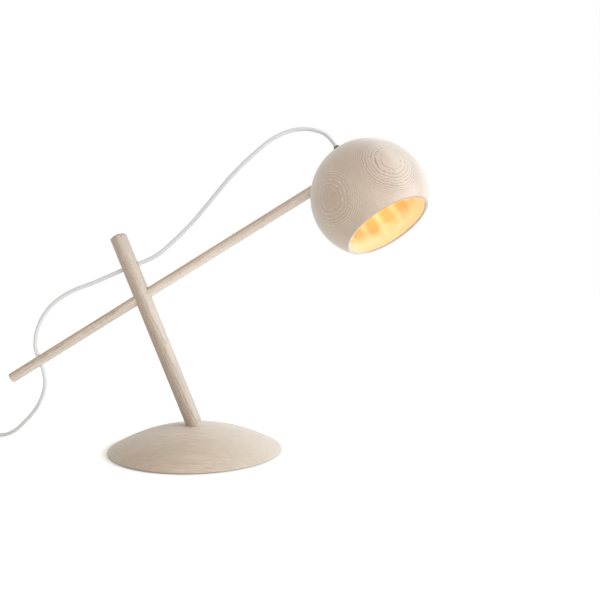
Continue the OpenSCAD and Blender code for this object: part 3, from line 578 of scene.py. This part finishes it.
def ball_oak():
    """A ball turned from staves glued side by side, each with flat rings square to the stave.

    One stave has dark pores, and the others are limed: their pores are pale and the wood between darker.
    """
    finish = Finish("oak_ball", **BALL_SURFACE)
    x, y, length = finish.coordinates(BALL_MIDDLE, BALL_AXES)
    radius = finish.vector("LENGTH", finish.combine(x, y, 0.0))
    turn = finish.math("SUBTRACT", finish.math("ARCTAN2", y, x), DARK_STAVE)
    stave = finish.math("ROUND", finish.math("DIVIDE", turn, STAVE_ANGLE))
    within = finish.math("MULTIPLY_ADD", stave, -STAVE_ANGLE, turn)
    depth = finish.math("SUBTRACT", BALL_R, finish.math("MULTIPLY", radius, finish.math("COSINE", within)))
    side = finish.math("MULTIPLY", radius, finish.math("SINE", within))
    fibre = finish.combine(finish.math("MULTIPLY_ADD", stave, STAVE_SHIFT, length), side, depth)
    count = finish.math("DIVIDE", depth, BALL_RING)
    width = finish.math("MULTIPLY", finish.math("SQRT", count), BALL_RING_WIDTH)
    limed = finish.spread(finish.math("ABSOLUTE", stave), 0, 1)
    contrast = finish.product(
        finish.spread(finish.math("ABSOLUTE", within), *STAVE_EDGE, 1.0, EDGE_CONTRAST),
        finish.spread(count, *RINGS_FADE, 1.0, finish.spread(limed, 0, 1, *RINGS_LEAST)),
        finish.spread(count, *FIRST_RING),
    )
    # a painted warm glow on the lip of the mouth
    lip_glow = painted_lip_glow(finish, length, radius, finish.math("DIVIDE", x, radius))
    stains_and_painted_light = [(finish.math("MULTIPLY", limed, LIMED_DARK), OAK_DARK_AND_SHADE), (lip_glow, OAK_LIP_GLOW)]
    pore = finish.mix(limed, OAK_PORE, OAK_LIMED)
    oak(finish, count, fibre, BALL_TONE, contrast, BALL_STREAKS, stains_and_painted_light, width, pore)
    return finish


# Lining: leaves of gold side by side round the ball's axis, orange within a reach of LEAF_MIDDLE, partly
# the gold's colour and partly painted shade
GOLD_PALE_AND_LIT = (0.96, 0.915, 0.72)
GOLD_DEEP_AND_SHADE = (0.95, 0.52, 0.21)
GOLD_METAL = 0.45
GOLD_ROUGHNESS = (0.42, 0.54)
GOLD_CLOUD = (60, 3)
GOLD_DINTS = (700, 2)
GOLD_BUMP = (0.0001, 0.3)
CLOUD_LEVELS = (0.3, 0.7)
LEAF_SEAM = math.radians(90.6)
LEAF_ANGLE = math.radians(21.6)
LEAF_EDGE = 0.3
LEAF_EDGE_SHARE = 0.5
LEAF_MIDDLE = math.radians(100)
LEAF_REACH = (math.cos(math.radians(68)), math.cos(math.radians(50)))
DEEP_HEIGHT = (-0.03, -0.014)
DEEP_WANDER = 0.02


def gold_lining():
    """Gold leaf, orange deep inside and paler towards the mouth and along the seams between the leaves:
    partly the leaf's colour, partly painted shade deep inside and painted light near the mouth.
    """
    finish = Finish("gold_lining", metallic=GOLD_METAL)
    x, y, height = finish.coordinates(BALL_MIDDLE, BALL_AXES)
    place = finish.place()
    cloud = finish.noise(place, *GOLD_CLOUD)
    angle = finish.math("ARCTAN2", y, x)
    turn = finish.math("DIVIDE", finish.math("SUBTRACT", angle, LEAF_SEAM), LEAF_ANGLE)
    facing = finish.math("COSINE", finish.math("SUBTRACT", angle, LEAF_MIDDLE))
    # orange deep inside and towards one side, partly painted shade; pale elsewhere, partly painted light
    deep_and_shade = finish.product(
        finish.spread(finish.math("PINGPONG", turn, 0.5), 0.0, LEAF_EDGE, LEAF_EDGE_SHARE, 1.0),
        finish.spread(facing, *LEAF_REACH),
        finish.spread(finish.shift(height, cloud, DEEP_WANDER), *DEEP_HEIGHT),
    )
    finish.set(
        base_color=finish.mix(deep_and_shade, GOLD_PALE_AND_LIT, GOLD_DEEP_AND_SHADE),
        roughness=finish.spread(cloud, *CLOUD_LEVELS, *GOLD_ROUGHNESS),
    )
    finish.bump(finish.noise(place, *GOLD_DINTS), *GOLD_BUMP)
    return finish


# Metals: name, colour, worn colour, roughness, scale of the marks, and nodes
METALS = [
    ("bronze", (0.15, 0.12, 0.075), (0.22, 0.175, 0.11), 0.42, 900, ["cord_gland"]),
    ("brass", (0.78, 0.56, 0.24), (0.85, 0.66, 0.34), 0.3, 1200,
     ["post_insert", "holder_contacts", "gland_nut", "switch_contacts", "plug_pins"]),
    ("steel", (0.50, 0.51, 0.53), (0.62, 0.63, 0.64), 0.34, 1500,
     ["base_weight", "weight_screws", "post_washer", "post_bolt", "retaining_screw", "holder_screws",
      "bulb_pins", "switch_pin", "switch_screws"]),
]
# the marks' detail, their levels for the colour and the polish, and how far that changes the roughness
METAL_DETAIL = 3
METAL_LEVELS = (0.35, 0.7)
METAL_POLISH = (0.3, 0.7)
METAL_SPREAD = (-0.06, 0.1)
METAL_BUMP = (0.00005, 0.4)

# Plastics, rubber and ceramic: name, colour, second colour, roughness, and nodes
PLASTICS = [
    ("rubber", (0.025, 0.025, 0.025), (0.04, 0.04, 0.04), 0.75, ["grip_rings", "pivot_ring"]),
    ("ceramic", (0.82, 0.80, 0.75), (0.86, 0.84, 0.80), 0.28, ["lamp_holder", "bulb_base"]),
    ("switch_white", (0.78, 0.78, 0.77), (0.83, 0.83, 0.82), 0.38,
     ["switch_lower", "switch_upper", "switch_reliefs", "plug_body", "plug_relief"]),
    ("switch_grey", (0.40, 0.40, 0.40), (0.46, 0.46, 0.46), 0.36, ["switch_rocker"]),
]
# the cloud's levels for the colour, the grain's for the polish, and how far that changes the roughness
PLASTIC_GRAIN = (2600, 2)
PLASTIC_CLOUD = (70, 2)
PLASTIC_LEVELS = (0.35, 0.65)
PLASTIC_POLISH = (0.3, 0.7)
PLASTIC_SPREAD = (-0.05, 0.08)
PLASTIC_BUMP = (0.00004, 0.5)


def metal(name, colour, worn, roughness, scale):
    """Metal with fine marks and a slightly uneven polish."""
    finish = Finish(name, metallic=1.0)
    marks = finish.noise(finish.place(), scale, METAL_DETAIL)
    polish = [roughness + change for change in METAL_SPREAD]
    finish.set(
        base_color=finish.mix(finish.spread(marks, *METAL_LEVELS), colour, worn),
        roughness=finish.spread(marks, *METAL_POLISH, *polish),
    )
    finish.bump(marks, *METAL_BUMP)
    return finish


def plastic(name, colour, second, roughness):
    """Moulded plastic with a fine even grain."""
    finish = Finish(name)
    place = finish.place()
    grain = finish.noise(place, *PLASTIC_GRAIN)
    cloud = finish.noise(place, *PLASTIC_CLOUD)
    polish = [roughness + change for change in PLASTIC_SPREAD]
    finish.set(
        base_color=finish.mix(finish.spread(cloud, *PLASTIC_LEVELS), colour, second),
        roughness=finish.spread(grain, *PLASTIC_POLISH, *polish),
    )
    finish.bump(grain, *PLASTIC_BUMP)
    return finish


# Felt, and the strap of the tie
FELT_SURFACE = {"roughness": 0.95, "sheen_weight": 0.3, "sheen_roughness": 0.6}
FELT_DARK = (0.05, 0.05, 0.048)
FELT_PALE = (0.12, 0.118, 0.112)
FELT_FIBRES = (1800, 4, 0.7)
FELT_BUMP = (0.0003, 0.8)
STRAP_SURFACE = {"roughness": 0.9, "sheen_weight": 0.3, "sheen_roughness": 0.5}
STRAP_DARK = (0.30, 0.30, 0.30)
STRAP_PALE = (0.50, 0.50, 0.49)
STRAP_LOOPS = (2200, 2)
STRAP_BUMP = (0.0002, 0.8)
FLUFF_LEVELS = (0.3, 0.7)


def fluff(name, surface, pattern, dark, pale, bump):
    """Cloth of loose fibres, with painted shade between them."""
    finish = Finish(name, **surface)
    fibres = finish.noise(finish.place(), *pattern)
    finish.set(base_color=finish.mix(finish.spread(fibres, *FLUFF_LEVELS), dark, pale))
    finish.bump(fibres, *bump)
    return finish


def felt():
    return fluff("felt", FELT_SURFACE, FELT_FIBRES, FELT_DARK, FELT_PALE, FELT_BUMP)


def strap_fabric():
    return fluff("tie", STRAP_SURFACE, STRAP_LOOPS, STRAP_DARK, STRAP_PALE, STRAP_BUMP)


# Bulb
GLASS_COLOUR = (0.95, 0.92, 0.86)
GLASS_ROUGHNESS = 0.3
BULB_COLOUR = (1.0, 0.88, 0.64)
BULB_GLOW = (6.5, 4.5)
FILAMENT_COLOUR = (1.0, 0.62, 0.25)
FILAMENT_ROUGHNESS = 0.5
FILAMENT_BEADS = (900, 1)
FILAMENT_LEVELS = (0.3, 0.7)
FILAMENT_GLOW = (12.0, 20.0)


def opal_glass():
    """Frosted glass, lit from inside and brightest at its middle."""
    finish = Finish(
        "bulb_glass", base_color=GLASS_COLOUR, roughness=GLASS_ROUGHNESS, emission_color=BULB_COLOUR,
    )
    low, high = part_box("bulb_glass")
    away = finish.vector("DISTANCE", finish.place(), (low + high) / 2)
    finish.set(emission_strength=finish.spread(away, 0.0, (high - low).length / 2, *BULB_GLOW))
    return finish


def filament():
    """Wire that glows a little unevenly along its turns."""
    finish = Finish(
        "filament", base_color=FILAMENT_COLOUR, roughness=FILAMENT_ROUGHNESS,
        emission_color=FILAMENT_COLOUR,
    )
    beads = finish.noise(finish.place(), *FILAMENT_BEADS)
    finish.set(emission_strength=finish.spread(beads, *FILAMENT_LEVELS, *FILAMENT_GLOW))
    return finish


# The cord's sleeve: strands counted round it, and the length along it in which one strand crosses the next
TEXTILE_SURFACE = {"roughness": 0.85, "sheen_weight": 0.25, "sheen_roughness": 0.5}
TEXTILE_LOW = (0.72, 0.735, 0.765)
TEXTILE_HIGH = (0.77, 0.785, 0.815)
TEXTILE_LEVELS = (0.15, 0.7)
TEXTILE_BUMP = (0.00005, 0.25)
BRAID_PITCH = 0.00105
BRAID_STRANDS = 24
YARN = (3.0, 2)
YARN_THREADS = 6.0
YARN_SHARE = 0.4
# how much paler the strands' crowns are: painted light on the crowns, painted shade between them
CROWN_PAINTED_LIGHT = 1.2


def textile():
    """Braided sleeve: two sets of strands that wind opposite ways and pass over each other in turn."""
    finish = Finish("cord_textile", **TEXTILE_SURFACE)
    weave = finish.node("UVMap", {}, uv_map="weave").outputs["UV"]
    split = finish.node("SeparateXYZ", {"Vector": weave})
    along = finish.math("DIVIDE", split.outputs["X"], BRAID_PITCH)
    round_it = finish.math("MULTIPLY", split.outputs["Y"], BRAID_STRANDS)
    one = finish.math("ADD", along, round_it)
    two = finish.math("SUBTRACT", along, round_it)
    cell = finish.math("ADD", finish.math("FLOOR", one), finish.math("FLOOR", two))
    over = finish.math("FLOORED_MODULO", cell, 2.0)
    crowns = [finish.math("PINGPONG", value, 0.5) for value in (one, two)]
    gap = finish.math("SUBTRACT", crowns[1], crowns[0])
    height = finish.math("MULTIPLY_ADD", over, gap, crowns[0])
    yarn = finish.noise(finish.combine(finish.math("MULTIPLY", one, YARN_THREADS), two, 0.0), *YARN)
    # crowns painted paler and dips darker: painted light and shade
    tone = finish.math("MULTIPLY_ADD", yarn, YARN_SHARE, finish.math("MULTIPLY", height, CROWN_PAINTED_LIGHT))
    finish.set(base_color=finish.mix(finish.spread(tone, *TEXTILE_LEVELS), TEXTILE_LOW, TEXTILE_HIGH))
    finish.bump(height, *TEXTILE_BUMP)
    return finish


# Tie: a strap round the coil, its end lapped over its own top
STRAP_T = 0.001
STRAP_EDGE = 0.0003
STRAP_CORNER = 0.0025
LAP_T = 0.0007
CORNER_STEPS = 8


def round_corner(y, z, radius, start):
    """A quarter turn in the YZ plane, from the start angle in degrees."""
    angles = [math.radians(start + 90 * k / CORNER_STEPS) for k in range(CORNER_STEPS + 1)]
    return [(y + radius * math.cos(a), z + radius * math.sin(a)) for a in angles]


def strap_line(low, high, inset):
    """The rounded rectangle that lies inset from the box's sides in the YZ plane."""
    r = STRAP_CORNER - inset
    y0, y1 = low.y + STRAP_CORNER, high.y - STRAP_CORNER
    z0, z1 = low.z + STRAP_CORNER, high.z - STRAP_CORNER
    corners = [(y1, z0, -90), (y1, z1, 0), (y0, z1, 90), (y0, z0, 180)]
    return [point for y, z, start in corners for point in round_corner(y, z, r, start)]


def lap_line(low, high, inset):
    """From the middle of the top over one corner to the middle of the side."""
    corner = round_corner(low.y + STRAP_CORNER, high.z - STRAP_CORNER, STRAP_CORNER - inset, 90)
    return [((low.y + high.y) / 2, high.z - inset), *corner, (low.y + inset, (low.z + high.z) / 2)]


def strap_sections(low, high, outer, inner):
    """The inset and the X of each corner of the strap's cross-section."""
    return [
        (outer, low.x + STRAP_EDGE), (outer, high.x - STRAP_EDGE),
        (outer + STRAP_EDGE, high.x), (inner - STRAP_EDGE, high.x),
        (inner, high.x - STRAP_EDGE), (inner, low.x + STRAP_EDGE),
        (inner - STRAP_EDGE, low.x), (outer + STRAP_EDGE, low.x),
    ]


def strap(line, low, high, outer, inner, closed):
    """Corners and faces of a strap that follows the line between the two insets."""
    sections = strap_sections(low, high, outer, inner)
    lines = [[(x, y, z) for y, z in line(low, high, inset)] for inset, x in sections]
    count, rows = len(lines[0]), len(lines)
    faces = [
        (row * count + i, row * count + (i + 1) % count,
         (row + 1) % rows * count + (i + 1) % count, (row + 1) % rows * count + i)
        for row in range(rows) for i in range(count if closed else count - 1)
    ]
    if not closed:
        faces.append(tuple(row * count for row in range(rows)))
        faces.append(tuple(row * count + count - 1 for row in reversed(range(rows))))
    return [point for one in lines for point in one], faces


def make_tie(finish):
    low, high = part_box("cord_tie")
    verts, faces = strap(strap_line, low, high, 0, STRAP_T, True)
    more, lap = strap(lap_line, low, high, -LAP_T, 0, False)
    faces += [tuple(len(verts) + i for i in face) for face in lap]
    tie = link_mesh("cord_tie_strap", verts + more, faces, [True] * len(faces))
    tie.data.materials.append(finish.material)
    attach(tie, "base")
    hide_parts("cord_tie")
    return tie


# Light, floor and background
KEY_AT = (2.6, -0.7, 0.75)
KEY_SIZE = (1.8, 1.4)
KEY_POWER = 52
KEY_COLOUR = (0.82, 0.92, 1.0)
FILL_AT = (0.3, -1.9, 0.35)
FILL_SIZE = (1.8, 0.6)
FILL_POWER = 5
FILL_COLOUR = (1.0, 0.95, 0.88)
LIGHT_TARGET = (0.05, 0, 0.18)
WHITE = (1, 1, 1)
# the sky as a light: its strong side, its least and most strength, and its colour
SKY_SIDE = (0.75, 0.15, 0.6)
SKY = (0.33, 0.87)
SKY_COLOUR = (1.0, 0.955, 0.895)
FLOOR_SIZE = 4
FLOOR_COLOUR = (0.9, 0.9, 0.9)
FLOOR_ROUGHNESS = 0.9
# its glow under the foot and beyond it, and the distances between which that changes: the weaker glow close
# round the foot is a painted shadow
FLOOR_GLOW_AND_SHADOW = (0.1, 0.38)
FLOOR_SHADOW_REACH = (0.1035, 0.115)


def make_world():
    """White to the eye; as a light it's strongest on the key's side."""
    world = bpy.data.worlds.new("studio")
    studio = Nodes(world)
    direction = studio.node("TexCoord", {}).outputs["Generated"]
    facing = studio.vector("DOT_PRODUCT", direction, Vector(SKY_SIDE).normalized())
    light = studio.spread(facing, -1, 1, *SKY)
    seen = studio.seen_directly()
    background = studio.tree.nodes["Background"]
    studio.feed(background.inputs["Color"], studio.mix(seen, SKY_COLOUR, WHITE))
    studio.feed(background.inputs["Strength"], studio.spread(seen, 0, 1, light, 1.0))
    bpy.context.scene.world = world


def make_floor():
    """White to the eye, so that only the shadow close to the lamp shows; the glow is weaker close round the
    foot, a painted shadow.
    """
    half = FLOOR_SIZE / 2
    corners = [(-half, -half, 0), (half, -half, 0), (half, half, 0), (-half, half, 0)]
    floor = link_mesh("floor", corners, [(0, 1, 2, 3)], [False])
    finish = Finish("floor", base_color=FLOOR_COLOUR, roughness=FLOOR_ROUGHNESS, specular_ior_level=0.0)
    glow_and_painted_shadow = finish.spread(finish.vector("LENGTH", finish.place()), *FLOOR_SHADOW_REACH, *FLOOR_GLOW_AND_SHADOW)
    seen = finish.math("MULTIPLY", finish.seen_directly(), glow_and_painted_shadow)
    finish.set(emission_color=WHITE, emission_strength=seen)
    floor.data.materials.append(finish.material)


def make_lamp(name, place, size, power, colour):
    data = bpy.data.lights.new(name, "AREA")
    data.shape = "RECTANGLE"
    data.size, data.size_y = size
    data.energy = power
    data.color = colour
    lamp = bpy.data.objects.new(name, data)
    lamp.location = place
    lamp.rotation_euler = (Vector(LIGHT_TARGET) - Vector(place)).to_track_quat("-Z", "Y").to_euler()
    bpy.context.scene.collection.objects.link(lamp)


def dress_nodes():
    """Gives every CAD node that stays its material, apart from the cord's end inside the ball."""
    put(foot_oak(), ["base_dome"])
    put(dowel_oak("oak_post", POST), ["post"])
    put(dowel_oak("oak_arm", ARM), ["arm"])
    put(ball_oak(), ["shade_shell"])
    put(gold_lining(), ["reflector"])
    for *look, names in METALS:
        put(metal(*look), names)
    for *look, names in PLASTICS:
        put(plastic(*look), names)
    put(felt(), ["base_felt"])
    put(opal_glass(), ["bulb_glass"])
    put(filament(), ["bulb_filament"])


make_camera()
cord_finish = textile()
put(cord_finish, ["cord_core"])
tie = make_tie(strap_fabric())
free_cords(cord_finish.material)
stored_cord(cord_finish.material)
dress_nodes()
make_world()
make_floor()
make_lamp("key", KEY_AT, KEY_SIZE, KEY_POWER, KEY_COLOUR)
make_lamp("fill", FILL_AT, FILL_SIZE, FILL_POWER, FILL_COLOUR)
bpy.context.scene.view_settings.view_transform = "Standard"
